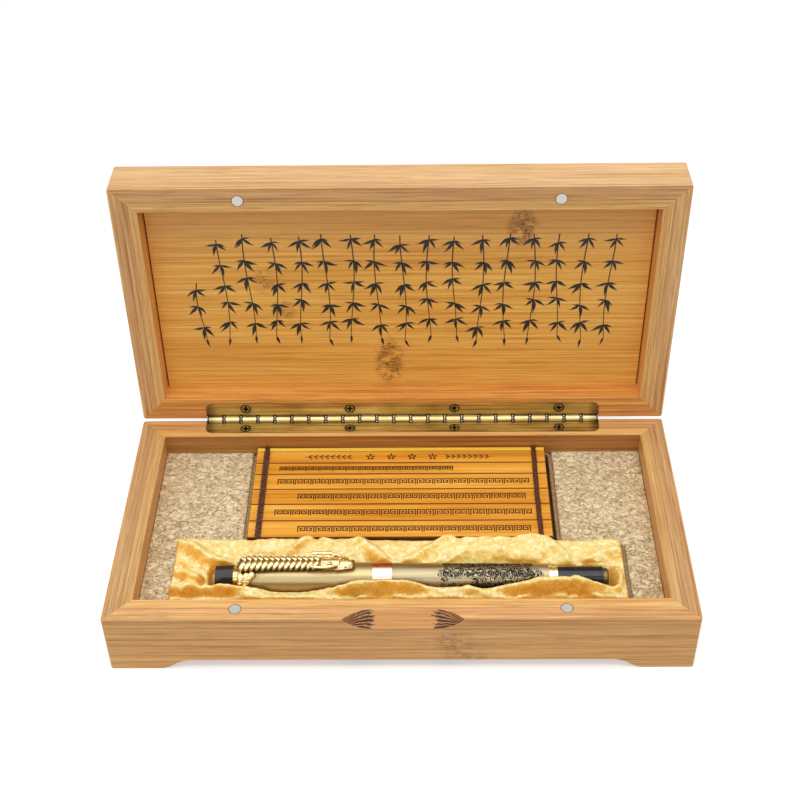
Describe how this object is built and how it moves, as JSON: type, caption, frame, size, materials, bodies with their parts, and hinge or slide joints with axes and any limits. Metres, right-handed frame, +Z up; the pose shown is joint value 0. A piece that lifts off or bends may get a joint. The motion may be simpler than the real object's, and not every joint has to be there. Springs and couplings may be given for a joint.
{
  "type": "pen gift set",
  "caption": "Bamboo box with a hinged lid, holding a fountain pen in satin and a folded book of bamboo slips.",
  "frame": {"origin": "middle of the open box's footprint, on the surface that its feet rest on", "axes": "+X along the box to the right, +Y from the front of the box to its hinge, +Z up"},
  "size_m": [0.2162, 0.1304, 0.1367],
  "materials": {
    "bamboo_wall": "satin lacquered laminated bamboo",
    "bamboo_panel": "satin lacquered bamboo board",
    "slip_bamboo": "amber bamboo skin, satin",
    "cord": "dark brown twisted thread",
    "antique_brass": "brushed antique",
    "hinge_steel": "drawn wire",
    "nickel": "nickel plated",
    "board": "grey board",
    "leatherette": "champagne embossed leatherette",
    "satin": "golden satin",
    "brushed_brass": "fine brushed",
    "gold": "polished gold plate",
    "rose_gold": "polished rose gold plate",
    "black_gloss": "gloss black",
    "black_plastic": "matt black",
    "nib_steel": "polished",
    "clear_plastic": "clear",
    "red_stone": "faceted red glass"
  },
  "bodies": {
    "base": {"base_front_wall": "bamboo_wall", "base_back_wall": "bamboo_wall", "base_left_wall": "bamboo_wall", "base_right_wall": "bamboo_wall", "base_floor": "bamboo_panel", "hinge_leaf_base": "antique_brass", "hinge_pin": "hinge_steel", "hinge_screws_base": "antique_brass", "magnets_base": "nickel", "insert_support": "board", "insert_deck": "leatherette", "recess_liner": "leatherette", "satin_lining": "satin"},
    "lid": {"lid_front_rail": "bamboo_wall", "lid_back_rail": "bamboo_wall", "lid_left_rail": "bamboo_wall", "lid_right_rail": "bamboo_wall", "lid_panel": "bamboo_panel", "hinge_leaf_lid": "antique_brass", "hinge_screws_lid": "antique_brass", "magnets_lid": "nickel"},
    "slip_book": {"slip_back_edge": "slip_bamboo", "slip_front_edge": "slip_bamboo", "slips_second_row": "slip_bamboo", "slips_third_row": "slip_bamboo", "slips_bottom_row": "slip_bamboo", "core_cord_left": "cord", "core_cord_right": "cord"},
    "slip_book_cover": {"slip_1": "slip_bamboo", "slip_2": "slip_bamboo", "slip_3": "slip_bamboo", "slip_4": "slip_bamboo", "slip_5": "slip_bamboo", "slip_6": "slip_bamboo", "cover_cord_left": "cord", "cover_cord_right": "cord"},
    "pen": {"grip_section": "black_gloss", "nib": "nib_steel", "feed": "black_plastic", "converter_tube": "clear_plastic", "converter_collar": "nib_steel"},
    "pen_cap": {"cap_finial": "gold", "cap_crown": "black_gloss", "cap_neck": "gold", "cap_shell": "brushed_brass", "cap_band": "rose_gold", "inner_cap": "black_plastic"},
    "pen_clip": {"clip": "gold", "clip_stones": "red_stone"},
    "pen_barrel": {"barrel_shell": "brushed_brass", "barrel_rings": "gold", "barrel_tail": "black_gloss", "tail_stud": "antique_brass"},
    "converter_knob": {"converter_knob": "black_plastic"},
    "converter_piston": {"converter_piston": "black_plastic"}
  },
  "joints": [
    {"name": "lid_hinge", "type": "hinge", "parent": "base", "child": "lid", "pos_m": [0, 0.04456, 0.02703], "axis": [-1, 0, 0], "range_deg": [-91.8, 88.2]},
    {"name": "slip_book_lift", "type": "slide", "parent": "base", "child": "slip_book", "axis": [0, 0, 1], "range_m": [0, 0.04]},
    {"name": "slip_book_open", "type": "hinge", "parent": "slip_book", "child": "slip_book_cover", "pos_m": [0, -0.01866, 0.02025], "axis": [1, 0, 0], "range_deg": [0, 178]},
    {"name": "pen_lift", "type": "slide", "parent": "base", "child": "pen", "axis": [0, 0, 1], "range_m": [0, 0.07]},
    {"name": "cap_pull", "type": "slide", "parent": "pen", "child": "pen_cap", "axis": [-1, 0, 0], "range_m": [0, 0.05]},
    {"name": "barrel_unscrew", "type": "slide", "parent": "pen", "child": "pen_barrel", "axis": [1, 0, 0], "range_m": [0, 0.062]},
    {"name": "clip_spring", "type": "hinge", "parent": "pen_cap", "child": "pen_clip", "pos_m": [-0.0613, -0.03811, 0.0255], "axis": [0, -1, 0], "range_deg": [0, 3], "stiffness_Nm_per_rad": 1.5},
    {"name": "knob_turn", "type": "hinge", "parent": "pen", "child": "converter_knob", "pos_m": [0, -0.03811, 0.0195], "axis": [1, 0, 0], "range_deg": [0, 720]},
    {"name": "piston_travel", "type": "slide", "parent": "pen", "child": "converter_piston", "axis": [1, 0, 0], "range_m": [0, 0.014]}
  ],
  "couplings": [
    {"joint": "slip_book_open", "follows": "slip_book_lift", "rad_per_m": 77.5},
    {"joint": "cap_pull", "follows": "pen_lift", "ratio": 0.714},
    {"joint": "barrel_unscrew", "follows": "pen_lift", "ratio": 0.885},
    {"joint": "knob_turn", "follows": "piston_travel", "rad_per_m": 897}
  ]
}
